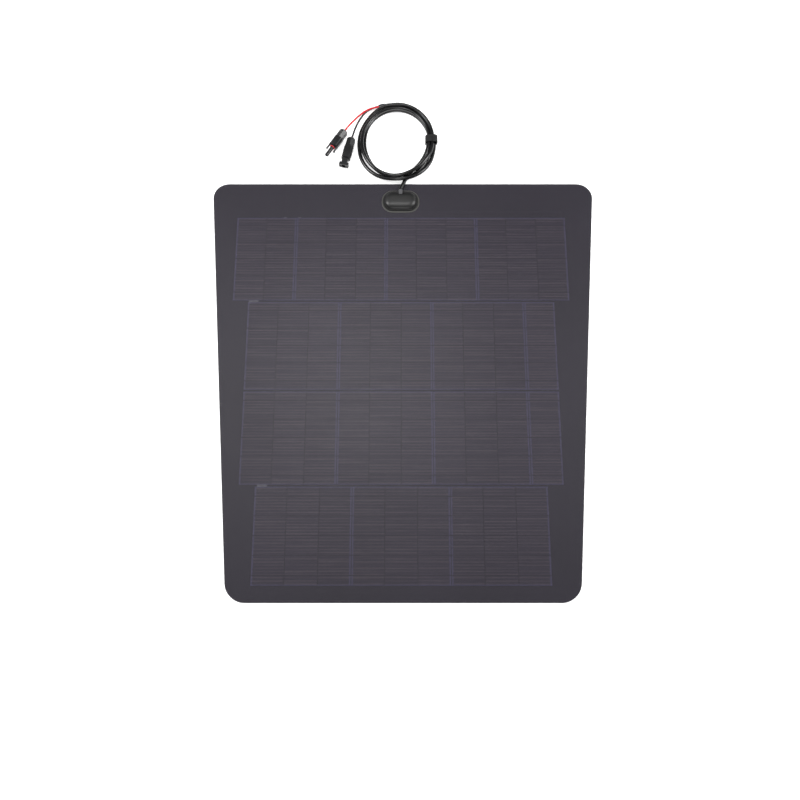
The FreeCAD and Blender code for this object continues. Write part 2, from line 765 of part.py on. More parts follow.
def grip_grooves(name, count, start):
    """Finger grooves across the top and the underside of a housing."""
    grooves = []
    for i in range(count):
        for side, z in (("top", "body_high / 2 - 0.6"), ("under", "0 - body_high / 2 - 0.4")):
            grooves.append(block(f"{name}_{side}_{i}", "1.2", "9", "1", f"{start} + {i} * 2.6", "0 - 4.5", z))
    return grooves


def probe_housing():
    front = "(probe_body_end - body_start)"
    body = beam("probe_body", front, "body_wide", "body_high", "body_start")
    rounding = rod("probe_body_round", "body_wide / 2 + 0.6", front, x="body_start")
    shaped = doc.addObject("Part::Common", "probe_body_shaped")
    shaped.Base, shaped.Tool = body, rounding
    collar = rod("probe_collar", "ring_radius + 0.7", "2.4", x="probe_body_end - 0.2")
    probe = rod("probe_stem", "probe_radius", "probe_long - probe_body_end - 1", x="probe_body_end")
    nose = taper("probe_nose", "probe_radius", "probe_radius - 0.7", "1", x="probe_long - 1")
    solid = joined("probe_solid", [shaped, rear_sleeve("probe_rear_sleeve"), collar, probe, nose])
    bore = rod("probe_rear_bore", "thread_bore", "body_start - thread_start + 2", x="thread_start - 1")
    passage = rod("probe_passage", "pin_radius + 0.8", "probe_long", x="body_start")
    groove = cut("probe_groove", rod("probe_groove_outer", "ring_radius + 2", "ring_thick",
                                     x="probe_body_end + 2.6"),
                 rod("probe_groove_inner", "ring_radius - ring_thick / 2", "ring_thick + 2",
                     x="probe_body_end + 1.6"))
    tools = [bore, passage, groove] + grip_grooves("probe_grip", 5, "body_start + 3")
    return cut("probe_housing", solid, *tools)


def probe_ring():
    ring = doc.addObject("Part::Torus", "probe_o_ring")
    bind(ring, Radius1="ring_radius - 0.02", Radius2="ring_thick / 2 - 0.05")
    return ring


def lock_finger(side):
    """A thin springy arm with a barb, on one side of the probe."""
    sign = {"left": 1, "right": -1}[side]
    name = f"probe_finger_{side}"
    y = f"({sign} * finger_offset)"
    arm = beam(name + "_arm", "finger_long", "finger_thick", "finger_high", "probe_body_end + finger_gap", y)
    barb_y = f"({sign} * (finger_offset + 0.5 * finger_thick))"
    barb = beam(name + "_barb", "2", "finger_thick", "finger_high",
                "probe_body_end + finger_gap + finger_long - 3", barb_y)
    return joined(name, [arm, barb])


def shell_housing():
    front = "(shell_body_end - body_start)"
    body = beam("shell_body", front, "body_wide", "body_high", "body_start")
    rounding = rod("shell_body_round", "body_wide / 2 + 0.6", front, x="body_start")
    shaped = doc.addObject("Part::Common", "shell_body_shaped")
    shaped.Base, shaped.Tool = body, rounding
    waist = beam("shell_waist", "shell_long - shell_body_end - head_long + 0.4", "waist_wide",
                 "waist_wide", "shell_body_end - 0.2")
    head = beam("shell_head", "head_long", "head_wide", "head_high", "shell_long - head_long")
    solid = joined("shell_solid", [shaped, rear_sleeve("shell_rear_sleeve"), waist, head])
    rear_bore = rod("shell_rear_bore", "thread_bore", "body_start - thread_start + 2", x="thread_start - 1")
    passage = rod("shell_passage", "pin_radius + 0.8", "shell_body_end", x="body_start")
    mouth = rod("shell_mouth", "shell_bore", "shell_long", x="shell_body_end - 9")
    windows = [block(f"shell_window_{side}", "6", "3", "6", "shell_body_end - 12",
                     f"{sign} * (body_wide / 2 - 0.4) - 1.5", "0 - 3")
               for side, sign in (("left", 1), ("right", -1))]
    lock_slots = [block(f"shell_lock_slot_{side}", "head_long + 1", "1.8", "6",
                        "shell_long - head_long - 0.5", f"{sign} * 6.3 - 0.9", "0 - 3")
                  for side, sign in (("left", 1), ("right", -1))]
    tools = [rear_bore, passage, mouth] + windows + lock_slots + grip_grooves("shell_grip", 5, "body_start + 3")
    return cut("shell_housing", solid, *tools)


def contact(kind, end):
    """A machined contact with a crimp barrel for the core and a collar that seats in the housing."""
    name = f"{kind}_contact"
    barrel = rod(name + "_barrel", "pin_radius + 0.3", "6", x="13.4")
    collar = rod(name + "_collar", "pin_radius + 0.8", "2", x="19.2")
    stem_radius = "pin_radius" if kind == "shell" else "pin_radius + 0.75"
    stem = rod(name + "_stem", stem_radius, f"{end} - 19.2", x="19.2")
    solid = joined(name + "_solid", [barrel, collar, stem])
    crimp = rod(name + "_crimp", "core_radius", "3", x="12")
    tools = [crimp]
    if kind == "probe":
        tools.append(rod(name + "_socket", "pin_radius + 0.05", "30", x=f"{end} - 16"))
    return cut(name, solid, *tools)


def connector_pieces():
    for kind in CONNECTORS:
        piece(f"{kind}_cap_nut", set_down(kind, cap_nut(kind)))
        piece(f"{kind}_clamp_cage", set_down(kind, clamp_cage(kind)))
        piece(f"{kind}_cable_seal", set_down(kind, cable_seal(kind)))
    piece("probe_housing", set_down("probe", probe_housing()))
    piece("probe_contact", set_down("probe", contact("probe", "probe_long - 1.4")))
    for side in ("left", "right"):
        piece(f"probe_finger_{side}", set_down("probe", lock_finger(side)))
    ring = set_down("probe", probe_ring())
    ring_x = size("probe_body_end") + 2.6 + size("ring_thick") / 2
    ring.Placement = ring.Placement * Placement(Vector(ring_x, 0, 0), TURNS["x"])
    piece("probe_o_ring", ring)
    piece("shell_housing", set_down("shell", shell_housing()))
    piece("shell_contact", set_down("shell", contact("shell", "pin_end")))


connector_pieces()

# ---------------------------------------------------------------- checks and files
doc.recompute()
for thing in doc.Objects:
    assert not {"Invalid", "Error"} & set(thing.State), f"{thing.Name} failed: {thing.State}"
os.makedirs("parts", exist_ok=True)
for thing in PIECES:
    shape = thing.Shape
    assert not shape.isNull() and shape.isValid(), thing.Label
    shape.exportStep(f"parts/{thing.Label}.step")
    box = shape.BoundBox
    print(f"{thing.Label}: {len(shape.Solids)} solids, z {box.ZMin:.2f} to {box.ZMax:.2f}, "
          f"volume {shape.Volume:.1f}")
print(len(PIECES), "nodes")
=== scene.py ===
import math
import random

import bpy
from mathutils import Matrix, Vector, noise


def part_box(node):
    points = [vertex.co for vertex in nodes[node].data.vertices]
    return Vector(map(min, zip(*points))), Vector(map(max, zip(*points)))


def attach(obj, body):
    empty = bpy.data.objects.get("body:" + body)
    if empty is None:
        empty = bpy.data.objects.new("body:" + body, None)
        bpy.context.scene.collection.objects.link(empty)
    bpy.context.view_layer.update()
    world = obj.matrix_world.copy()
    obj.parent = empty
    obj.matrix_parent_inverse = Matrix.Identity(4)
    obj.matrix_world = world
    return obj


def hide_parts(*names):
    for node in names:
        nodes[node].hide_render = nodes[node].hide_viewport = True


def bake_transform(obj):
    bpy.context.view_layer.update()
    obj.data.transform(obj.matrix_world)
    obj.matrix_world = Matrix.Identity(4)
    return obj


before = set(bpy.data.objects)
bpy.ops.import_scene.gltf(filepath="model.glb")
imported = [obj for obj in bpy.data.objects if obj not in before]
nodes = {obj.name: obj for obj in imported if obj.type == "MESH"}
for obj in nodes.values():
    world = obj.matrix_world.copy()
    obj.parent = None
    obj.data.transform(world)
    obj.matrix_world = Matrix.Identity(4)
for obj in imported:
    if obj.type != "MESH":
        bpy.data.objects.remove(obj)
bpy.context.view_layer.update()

# A flexible solar sheet lying face up on a pale floor.  Metres, in the part's own frame:
# +Z out of the cell face, +Y towards the junction box.  MM turns millimetres to metres.

MM = 0.001
random.seed(7)

film_low, film_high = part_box("front_film_upper")
board_low, board_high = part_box("board_upper")
far_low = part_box("board_lower")[0]

# ---------------------------------------------------------------- driving sizes
SHEET_TOP = film_high[1]
SHEET_BOTTOM = far_low[1]
BOX_END_HALF = 341.0 * MM
FAR_END_HALF = 279.0 * MM
CORNER = 30.0 * MM
WAFER = 158.75 * MM
STRIP = WAFER / 3
STRIP_GAP = 0.4 * MM
ROW_GAP = 3.5 * MM
ARRAY_X = -3.0 * MM
ARRAY_Y = -20.5 * MM
BEND_STEP = 8.0 * MM
CABLE_RADIUS = 3.5 * MM
CORE_RADIUS = 1.7 * MM
BOX_CORNER = 17.0 * MM
COVER_CORNER = 15.0 * MM
TOUCHING = 1e-6

# strips in each wafer, row by row from the junction-box end
ROWS = [(2, 3, 3, 3), (3, 3, 3, 1), (3, 3, 3, 1), (3, 3, 3)]


# ---------------------------------------------------------------- camera
def stand_camera():
    """Looks down on the sheet from the far end, a little right of the cells' middle."""
    target = Vector((-5.0, -36.4, 0.0)) * MM
    elevation = math.radians(72.47)
    distance = 1.5994
    away = Vector((0.0, -math.cos(elevation), math.sin(elevation)))
    data = bpy.data.cameras.new("camera")
    data.lens = 43.06
    data.sensor_width = 36.0
    camera = bpy.data.objects.new("camera", data)
    camera.location = target + away * distance
    camera.rotation_euler = (math.pi / 2 - elevation, 0.0, 0.0)
    bpy.context.collection.objects.link(camera)
    bpy.context.scene.camera = camera


stand_camera()


# ---------------------------------------------------------------- how a material is made
def colour(code):
    """An sRGB hex value as the linear colour that a shader takes."""
    shares = [int(code[i:i + 2], 16) / 255 for i in (1, 3, 5)]
    return (*[c / 12.92 if c <= 0.04045 else ((c + 0.055) / 1.055) ** 2.4 for c in shares], 1.0)


def add(tree, kind, inputs=None, **options):
    """Adds a node, sets its options, and fills or links its inputs."""
    node = tree.nodes.new(kind)
    for option, value in options.items():
        setattr(node, option, value)
    for place, value in (inputs or {}).items():
        if isinstance(value, bpy.types.NodeSocket):
            tree.links.new(value, node.inputs[place])
        else:
            node.inputs[place].default_value = value
    return node


def surface(name, **settings):
    """A new material whose shader has these plain settings; returns it, its tree and its shader."""
    material = bpy.data.materials.new(name)
    material.use_nodes = True
    tree = material.node_tree
    shader = tree.nodes["Principled BSDF"]
    for place, value in settings.items():
        shader.inputs[place.replace("_", " ")].default_value = value
    return material, tree, shader


def place_on_object(tree):
    return add(tree, "ShaderNodeTexCoord").outputs["Object"]


def mottle(tree, size_mm, detail=2.0, place=None, stretch=(1, 1, 1)):
    """Noise whose blotches are about size_mm across."""
    place = place or place_on_object(tree)
    spread = add(tree, "ShaderNodeMapping", {"Vector": place, "Scale": stretch})
    return add(tree, "ShaderNodeTexNoise",
               {"Vector": spread.outputs[0], "Scale": 0.5 / (size_mm * MM), "Detail": detail}).outputs["Fac"]


def between(tree, share, low, high, colours=True):
    """Goes from low to high as share goes from 0 to 1, for colours or for numbers."""
    if colours:
        mix = add(tree, "ShaderNodeMix", {0: share, 6: low, 7: high}, data_type="RGBA")
        return mix.outputs[2]
    return add(tree, "ShaderNodeMapRange", {"Value": share, "To Min": low, "To Max": high}).outputs[0]


def spread_of(tree, share, low, high):
    """Stretches the middle of a noise, from low to high, over 0 to 1."""
    return add(tree, "ShaderNodeMapRange", {"Value": share, "From Min": low, "From Max": high}).outputs[0]


def relief(tree, shader, height, depth_mm, strength=1.0):
    """Bump of a real depth from a height between 0 and 1."""
    bump = add(tree, "ShaderNodeBump", {"Height": height, "Distance": depth_mm * MM, "Strength": strength})
    tree.links.new(bump.outputs[0], shader.inputs["Normal"])


def drive(tree, shader, **links):
    for place, source in links.items():
        tree.links.new(source, shader.inputs[place.replace("_", " ")])


# ---------------------------------------------------------------- materials
def embossed_polymer_film():
    """PET film, calendered with a fine emboss: the milky skin over the cells, soft in every reflection."""
    material, tree, shader = surface("embossed polymer film", IOR=1.5, Alpha=0.4)
    haze = spread_of(tree, mottle(tree, 90.0, 3.0), 0.3, 0.7)
    grain = mottle(tree, 0.9, 1.0)
    drive(tree, shader,
          Base_Color=between(tree, haze, colour("#312c38"), colour("#36313e")),
          Roughness=between(tree, grain, 0.4, 0.5, colours=False))
    relief(tree, shader, grain, 0.01, 0.5)
    return material


def clear_encapsulant():
    """EVA, cured: a clear, slightly cloudy layer that only shows at the sheet's cut edge."""
    material, tree, shader = surface("clear encapsulant", IOR=1.48, Alpha=0.05)
    cloud = mottle(tree, 6.0)
    drive(tree, shader,
          Base_Color=between(tree, cloud, colour("#8f9094"), colour("#a8a9ac")),
          Roughness=between(tree, cloud, 0.3, 0.45, colours=False))
    return material


def monocrystalline_silicon():
    """Silicon with a nitride coating: violet-grey, bluer at the wafer's rim, crossed by fine printed fingers.

    The real fingers are 1.5 mm apart, too fine to show, so they are drawn 5 mm apart and uneven."""
    material, tree, shader = surface("monocrystalline silicon", IOR=1.6, Roughness=0.38)
    place = add(tree, "ShaderNodeAttribute", attribute_name="place_mm").outputs["Vector"]
    rim = add(tree, "ShaderNodeAttribute", attribute_name="rim").outputs["Fac"]
    tone = add(tree, "ShaderNodeAttribute", attribute_name="tone").outputs["Fac"]
    up = add(tree, "ShaderNodeSeparateXYZ", {0: place}).outputs["Y"]
    pitch = add(tree, "ShaderNodeMath", {0: up, 1: WAFER / MM / 32}, operation="DIVIDE").outputs[0]
    wave = add(tree, "ShaderNodeMath", {0: pitch, 1: 0.5}, operation="PINGPONG").outputs[0]
    finger = spread_of(tree, wave, 0.22, 0.5)
    drawn_out = add(tree, "ShaderNodeMapping", {"Vector": place, "Scale": (0.006, 0.24, 1.0)}).outputs[0]
    uneven = add(tree, "ShaderNodeTexNoise",
                 {"Vector": drawn_out, "Scale": 1.0, "Detail": 3.0, "Roughness": 0.7}).outputs["Fac"]
    streak = spread_of(tree, uneven, 0.35, 0.68)
    shown = add(tree, "ShaderNodeMath", {0: finger, 1: streak}, operation="MULTIPLY").outputs[0]
    silicon = between(tree, tone, colour("#3e3847"), colour("#524b5b"))
    lined = between(tree, shown, silicon, colour("#9a8a8f"))
    streaked = between(tree, spread_of(tree, uneven, 0.5, 0.85), lined, colour("#7a7076"))
    edge = add(tree, "ShaderNodeMath", {0: rim, 1: 0.0}, operation="MAXIMUM").outputs[0]
    rimmed = between(tree, edge, streaked, colour("#7d7cb0"))
    cut = add(tree, "ShaderNodeMath", {0: rim, 1: -1.0}, operation="MULTIPLY").outputs[0]
    dark = add(tree, "ShaderNodeMath", {0: cut, 1: 0.0}, operation="MAXIMUM").outputs[0]
    drive(tree, shader, Base_Color=between(tree, dark, rimmed, colour("#141318")))
    return material


def blackened_ribbon():
    """Copper ribbon with a black coating: the dull dark lines that cross each row of cells."""
    material, tree, shader = surface("blackened ribbon", IOR=1.5)
    grain = mottle(tree, 1.5)
    drive(tree, shader,
          Base_Color=between(tree, grain, colour("#2b292f"), colour("#36343a")),
          Roughness=between(tree, grain, 0.45, 0.6, colours=False))
    return material


def tinned_copper():
    """Copper ribbon dipped in tin: a soft silver with drawn streaks."""
    material, tree, shader = surface("tinned copper", Metallic=1.0)
    streak = mottle(tree, 0.6, 2.0, stretch=(1, 0.1, 1))
    drive(tree, shader,
          Base_Color=between(tree, streak, colour("#8e8f95"), colour("#adaeb4")),
          Roughness=between(tree, streak, 0.35, 0.5, colours=False))
    relief(tree, shader, streak, 0.01)
    return material


def glass_fibre_board():
    """Epoxy board on woven glass: near black, with a faint square weave 0.8 mm apart under a thin gloss."""
    material, tree, shader = surface("glass fibre board", IOR=1.5)
    place = place_on_object(tree)
    spread = add(tree, "ShaderNodeMapping", {"Vector": place, "Scale": (1 / (0.8 * MM),) * 3}).outputs[0]
    axes = add(tree, "ShaderNodeSeparateXYZ", {0: spread})
    warp = add(tree, "ShaderNodeMath", {0: axes.outputs["X"], 1: 0.5}, operation="PINGPONG").outputs[0]
    weft = add(tree, "ShaderNodeMath", {0: axes.outputs["Y"], 1: 0.5}, operation="PINGPONG").outputs[0]
    weave = add(tree, "ShaderNodeMath", {0: warp, 1: weft}, operation="ADD").outputs[0]
    cloud = mottle(tree, 40.0)
    resin = between(tree, cloud, colour("#19191b"), colour("#222225"))
    drive(tree, shader,
          Base_Color=between(tree, weave, resin, colour("#2b2b2e")),
          Roughness=between(tree, weave, 0.34, 0.5, colours=False))
    relief(tree, shader, weave, 0.03, 0.4)
    return material


def moulded_plastic(name, dark, light, grit_mm, rough):
    """PPO blend from a spark-eroded mould: dull black with a fine even grit and faint flow marks."""
    material, tree, shader = surface(name, IOR=1.55)
    grit = mottle(tree, grit_mm, 2.0)
    flow = spread_of(tree, mottle(tree, 14.0, 2.0), 0.35, 0.65)
    drive(tree, shader,
          Base_Color=between(tree, flow, colour(dark), colour(light)),
          Roughness=between(tree, grit, rough - 0.07, rough + 0.08, colours=False))
    relief(tree, shader, grit, 0.04, 0.45)
    return material


def silicone_sealant():
    """Black silicone, tooled by hand: dull satin, a little lighter than the box, with soft ripples."""
    material, tree, shader = surface("silicone sealant", IOR=1.43)
    ripple = mottle(tree, 3.0, 2.0)
    drive(tree, shader,
          Base_Color=between(tree, ripple, colour("#424240"), colour("#52524e")),
          Roughness=between(tree, ripple, 0.42, 0.58, colours=False))
    relief(tree, shader, ripple, 0.15, 0.5)
    return material


def extruded_sheath(name, dark, light, rough):
    """PVC, extruded: an even satin skin with faint draw lines and a few rubbed spots."""
    material, tree, shader = surface(name, IOR=1.53)
    rub = spread_of(tree, mottle(tree, 5.0, 3.0), 0.4, 0.7)
    skin = mottle(tree, 0.35, 2.0)
    drive(tree, shader,
          Base_Color=between(tree, rub, colour(dark), colour(light)),
          Roughness=between(tree, skin, rough - 0.05, rough + 0.08, colours=False))
    relief(tree, shader, skin, 0.015, 0.4)
    return material


def moulded_rubber(name, dark, light):
    """Nitrile or silicone rubber, moulded: matt, with a dusty bloom."""
    material, tree, shader = surface(name, IOR=1.52)
    bloom = mottle(tree, 1.2, 3.0)
    drive(tree, shader,
          Base_Color=between(tree, bloom, colour(dark), colour(light)),
          Roughness=between(tree, bloom, 0.5, 0.7, colours=False))
    relief(tree, shader, bloom, 0.02, 0.4)
    return material


def hook_and_loop_tape():
    """Nylon tape with brushed loops: a deep dull black with a felted nap and a faint sheen."""
    material, tree, shader = surface("hook and loop tape", IOR=1.53, Sheen_Weight=0.08, Sheen_Roughness=0.5)
    nap = mottle(tree, 0.45, 3.0)
    fleece = mottle(tree, 2.0, 2.0)
    drive(tree, shader,
          Base_Color=between(tree, fleece, colour("#060607"), colour("#111112")),
          Roughness=between(tree, nap, 0.75, 0.95, colours=False))
    relief(tree, shader, nap, 0.25, 0.9)
    return material


def lit_floor():
    """White acrylic lit from below: a bright even floor with hardly any shadow."""
    material, tree, shader = surface("lit acrylic floor", IOR=1.45, Specular_IOR_Level=0.2,
                                     Emission_Color=colour("#ffffff"), Emission_Strength=0.75)
    stipple = mottle(tree, 3.0, 2.0)
    drive(tree, shader,
          Base_Color=between(tree, stipple, colour("#f2f2f2"), colour("#f6f6f6")),
          Roughness=between(tree, stipple, 0.8, 0.9, colours=False))
    return material


FILM = embossed_polymer_film()
ENCAPSULANT = clear_encapsulant()
SILICON = monocrystalline_silicon()
BLACK_RIBBON = blackened_ribbon()
TINNED = tinned_copper()
BOARD = glass_fibre_board()
BOX_PLASTIC = moulded_plastic("moulded box plastic", "#131313", "#1a1a1a", 0.5, 0.4)
# Painted shade: the box's foot is the cover's own plastic made darker and rougher, so its ledge and steep
# sides show as a black ring.
BOX_BASE_PAINTED_SHADE_PLASTIC = moulded_plastic("moulded box plastic darkened as painted shade", "#060606", "#0b0b0b", 0.5, 0.62)
CONNECTOR_PLASTIC = moulded_plastic("moulded connector plastic", "#0d0d0f", "#17171a", 0.4, 0.34)
SEALANT = silicone_sealant()
SHEATH = extruded_sheath("extruded cable sheath", "#060607", "#0e0e10", 0.23)
RED_SKIN = extruded_sheath("extruded red insulation", "#d6101c", "#e02631", 0.36)
BLACK_SKIN = extruded_sheath("extruded black insulation", "#1a1a1c", "#262628", 0.36)
SHRINK = extruded_sheath("heat-shrink sleeve", "#1b1b1e", "#252528", 0.48)
RUBBER = moulded_rubber("black rubber", "#222224", "#2f2f31")
GREY_RUBBER = moulded_rubber("grey rubber", "#4a4a4c", "#5d5d60")
RED_RUBBER = moulded_rubber("red silicone rubber", "#c8252b", "#d8383c")
TAPE = hook_and_loop_tape()


# ---------------------------------------------------------------- how a mesh is made
def new_object(name, points, faces, materials, smooth=False, face_slots=None):
    mesh = bpy.data.meshes.new(name)
    mesh.from_pydata([tuple(p) for p in points], [], faces)
    for material in materials:
        mesh.materials.append(material)
    if face_slots:
        mesh.polygons.foreach_set("material_index", face_slots)
    mesh.polygons.foreach_set("use_smooth", [smooth] * len(mesh.polygons))
    mesh.update()
    thing = bpy.data.objects.new(name, mesh)
    bpy.context.collection.objects.link(thing)
    return thing


def slab(columns, heights, low, high, first=0):
    """Points and faces of a closed thin slab; columns(y) gives its x values at each y."""
    rows = [columns(y) for y in heights]
    across, along = len(rows[0]), len(rows)
    points = [(x, y, z) for z in (high, low) for y, row in zip(heights, rows) for x in row]
    under = across * along

    def at(i, j, side=0):
        return first + side * under + j * across + i

    faces = []
    for j in range(along - 1):
        for i in range(across - 1):
            faces.append((at(i, j), at(i + 1, j), at(i + 1, j + 1), at(i, j + 1)))
            faces.append((at(i, j, 1), at(i, j + 1, 1), at(i + 1, j + 1, 1), at(i + 1, j, 1)))
        faces.append((at(0, j), at(0, j + 1), at(0, j + 1, 1), at(0, j, 1)))
        faces.append((at(across - 1, j), at(across - 1, j, 1), at(across - 1, j + 1, 1),
                      at(across - 1, j + 1)))
    for i in range(across - 1):
        faces.append((at(i, 0), at(i, 0, 1), at(i + 1, 0, 1), at(i + 1, 0)))
        faces.append((at(i, along - 1), at(i + 1, along - 1), at(i + 1, along - 1, 1), at(i, along - 1, 1)))
    return points, faces


def steps(low, high, longest):
    """Even places from low to high, no further apart than longest."""
    count = max(1, math.ceil((high - low) / longest))
    return [low + (high - low) * k / count for k in range(count + 1)]


def bend_with_sheet(layer):
    """Bakes a laminate layer's placement into its mesh."""
    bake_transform(layer)


def turned(name, start, way, profile, material, around=32):
    """A round piece along an axis, from (distance, radius) pairs; its ends are closed."""
    way = Vector(way).normalized()
    side = way.orthogonal().normalized()
    other = way.cross(side)
    points = []
    for distance, radius in profile:
        for k in range(around):
            angle = 2 * math.pi * k / around
            out = side * math.cos(angle) + other * math.sin(angle)
            points.append(Vector(start) + way * distance + out * radius)
    faces = []
    for j in range(len(profile) - 1):
        for k in range(around):
            nxt = (k + 1) % around
            faces.append((j * around + k, j * around + nxt, (j + 1) * around + nxt, (j + 1) * around + k))
    faces.append(tuple(reversed(range(around))))
    faces.append(tuple(range((len(profile) - 1) * around, len(profile) * around)))
    return new_object(name, points, faces, [material], smooth=True)


# ---------------------------------------------------------------- cable
LEAD_ROUTE = [
    (-4.0, 351.8, 7.6),
    (-4.0, 356.2, 7.6),
    (-1.7, 362.2, 7.4),
    (1.4, 368.6, 6.7),
    (5.2, 378.8, 5.7),
]
TAIL_ROUTE = [
    (-5.0, 532.4, 5.4),
    (-14.6, 533.4, 5.2),
    (-24.0, 533.1, 5.0),
    (-33.0, 532.0, 4.9),
    (-42.0, 530.2, 4.8),
]
RED_ROUTE = [
    (-42.5, 528.6, 5.6),
    (-55.5, 525.4, 7.6),
    (-68.8, 518.4, 7.9),
    (-79.4, 509.9, 6.4),
    (-89.6, 498.6, 7.0),
    (-100.9, 484.0, 8.6),
    (-113.1, 464.5, 8.6),
]
BLACK_ROUTE = [
    (-42.5, 531.7, 4.1),
    (-56.0, 528.4, 2.1),
    (-68.4, 519.8, 1.9),
    (-77.2, 507.2, 2.5),
    (-83.8, 491.0, 6.2),
    (-90.4, 469.7, 8.6),
    (-95.8, 447.4, 8.6),
]

# The innermost and outermost ovals that the turns keep between: middle, then half sizes.
INNER_OVAL = (-11.9, 450.8, 58.2, 68.0)
OUTER_OVAL = (-12.3, 453.4, 68.2, 77.2)

# How the turns lie on each other: degrees from the +X side, share of the way from the inner
# oval to the outer one, and height.
COIL_PLACES = [
    (-64, 0.85, 5.2), (-35, 0.6, 5.1), (-5, 0.38, 5.1), (25, 0.45, 3.9), (80, 0.42, 3.7),
    (140, 0.26, 3.8), (180, 0.0, 4.8), (205, -0.08, 5.1), (240, 0.02, 5.1), (266, 0.28, 5.1),
    (287, -0.05, 5.4), (305, -0.33, 6.6), (330, -0.16, 9.4), (352, 0.06, 11.6), (382, 0.4, 10.6),
    (430, 0.44, 10.0), (465, 0.3, 11.8), (500, 0.26, 12.2), (540, 0.46, 11.4), (590, 0.33, 11.6),
    (627, 0.3, 12.2), (652, 0.1, 13.4), (680, 0.42, 13.7), (702, 0.76, 12.4), (722, 0.88, 11.8),
    (742, 0.98, 12.4), (800, 0.98, 12.4), (835, 0.9, 10.8), (862, 0.76, 8.0), (880, 0.86, 5.8),
    (910, 0.98, 4.6), (935, 1.28, 5.0), (960, 1.34, 6.8), (985, 1.24, 11.6), (1005, 1.42, 12.8),
    (1022, 1.66, 10.8), (1042, 1.56, 6.8), (1062, 1.28, 5.6), (1095, 1.06, 5.9), (1160, 1.0, 5.4),
]
COIL_STEP = 15


def coil_point(degrees):
    """Where the cable's middle is after turning this far round the coil."""
    before = max(place for place in COIL_PLACES[:-1] if place[0] <= degrees)
    after = COIL_PLACES[COIL_PLACES.index(before) + 1]
    share = (degrees - before[0]) / (after[0] - before[0])
    share = share * share * (3 - 2 * share)
    out, height = [a + (b - a) * share for a, b in zip(before[1:], after[1:])]
    x, y, half_wide, half_long = [a + (b - a) * out for a, b in zip(INNER_OVAL, OUTER_OVAL)]
    angle = math.radians(degrees)
    return (x + half_wide * math.cos(angle), y + half_long * math.sin(angle), height)


def free_cord(name, route, radius, material):
    """A round cord on one open smooth spline."""
    curve = bpy.data.curves.new(name, "CURVE")
    curve.dimensions = "3D"
    curve.bevel_depth = radius
    curve.bevel_resolution = 6
    curve.use_fill_caps = True
    curve.resolution_u = 10
    spline = curve.splines.new("NURBS")
    spline.points.add(len(route) - 1)
    for point, place in zip(spline.points, route):
        point.co = (*[c * MM for c in place], 1.0)
    spline.order_u = 3
    spline.use_endpoint_u = True
    spline.use_smooth = True
    curve.materials.append(material)
    thing = bpy.data.objects.new(name, curve)
    bpy.context.collection.objects.link(thing)
    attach(thing, "panel_upper")
    return thing


def cable_end_sleeve():
    """A shrunk sleeve over the sheath's end, closed round the two cores."""
    before, end = [Vector(p) * MM for p in TAIL_ROUTE[-2:]]
    way = (end - before).normalized()
    length = 12.0 * MM
    profile = [(0.0, 3.55), (0.4, 3.85), (7.0, 3.85), (9.0, 3.8), (10.6, 3.6), (11.6, 3.2), (12.0, 2.4)]
    sleeve = turned("cable_end_sleeve", end - way * (length - 2.2 * MM), way,
                    [(d * MM, r * MM) for d, r in profile], SHRINK)
    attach(sleeve, "panel_upper")
    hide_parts("split_sleeve")
    return sleeve


def lay_cables():
    turns = range(COIL_PLACES[0][0], COIL_PLACES[-1][0] + 1, COIL_STEP)
    route = LEAD_ROUTE + [coil_point(degrees) for degrees in turns] + TAIL_ROUTE
    cable = free_cord("cable", route, CABLE_RADIUS, SHEATH)
    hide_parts("cable_lead", "cable_coil", "cable_tail")
    sleeve = cable_end_sleeve()
    for name, route, skin, connector, length in (
            ("red_wire", RED_ROUTE, RED_SKIN, "probe_housing", 0.099),
            ("black_wire", BLACK_ROUTE, BLACK_SKIN, "shell_housing", 0.107)):
        core = free_cord(name, route, CORE_RADIUS, skin)
        node = name.replace("wire", "core")
        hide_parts(node)
        [c * MM for c in route[0]]


lay_cables()


# ---------------------------------------------------------------- laminate
def half_width(y):
    """Half of the sheet's width at y, rounded in at its four corners."""
    share = (y - SHEET_BOTTOM) / (SHEET_TOP - SHEET_BOTTOM)
    side = FAR_END_HALF + (BOX_END_HALF - FAR_END_HALF) * share
    from_end = min(y - SHEET_BOTTOM, SHEET_TOP - y)
    if from_end >= CORNER:
        return side
    return side - CORNER + math.sqrt(max(0.0, CORNER ** 2 - (CORNER - from_end) ** 2))


def sheet_heights():
    """Places up the sheet: close together round the corners and over the bend."""
    arc = [CORNER * (1 - math.cos(math.radians(a))) for a in range(0, 91, 9)]
    low = [SHEET_BOTTOM + d for d in arc]
    high = [SHEET_TOP - d for d in reversed(arc)]
    return low + steps(low[-1], high[0], BEND_STEP)[1:-1] + high


def sheet_layer(name, low, high, material, replaced, inset=0.0):
    """One laminate layer over the whole sheet."""
    def columns(y):
        half = half_width(y) - inset
        return [half * share for share in (-1, -0.75, -0.5, -0.25, 0, 0.25, 0.5, 0.75, 1)]

    points, faces = slab(columns, sheet_heights(), low, high)
    layer = new_object(name, points, faces, [material])
    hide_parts(*replaced)
    bend_with_sheet(layer)
    return layer


def laminate():
    sheet_layer("backing_board", board_low[2], board_high[2], BOARD,
                ["board_upper", "board_lower"])
    sheet_layer("encapsulant", board_high[2] + 0.02 * MM, film_low[2] - 0.02 * MM, ENCAPSULANT,
                ["rear_encapsulant_upper", "rear_encapsulant_lower",
                 "front_encapsulant_upper", "front_encapsulant_lower"], inset=0.1 * MM)
    sheet_layer("face_film", film_low[2], film_high[2], FILM,
                ["front_film_upper", "front_film_lower"])


# ---------------------------------------------------------------- cells
# how far in from a strip's edge the rim's colour peaks and ends, and a cut's shade ends
RIM_IN = 1.6 * MM
RIM_SIDE = 3.4 * MM
RIM_END = 2.6 * MM
CUT_SIDE = 1.1 * MM
BUSBARS = (0.1, 0.3, 0.5, 0.7, 0.9)
BUSBAR_WIDE = 1.3 * MM


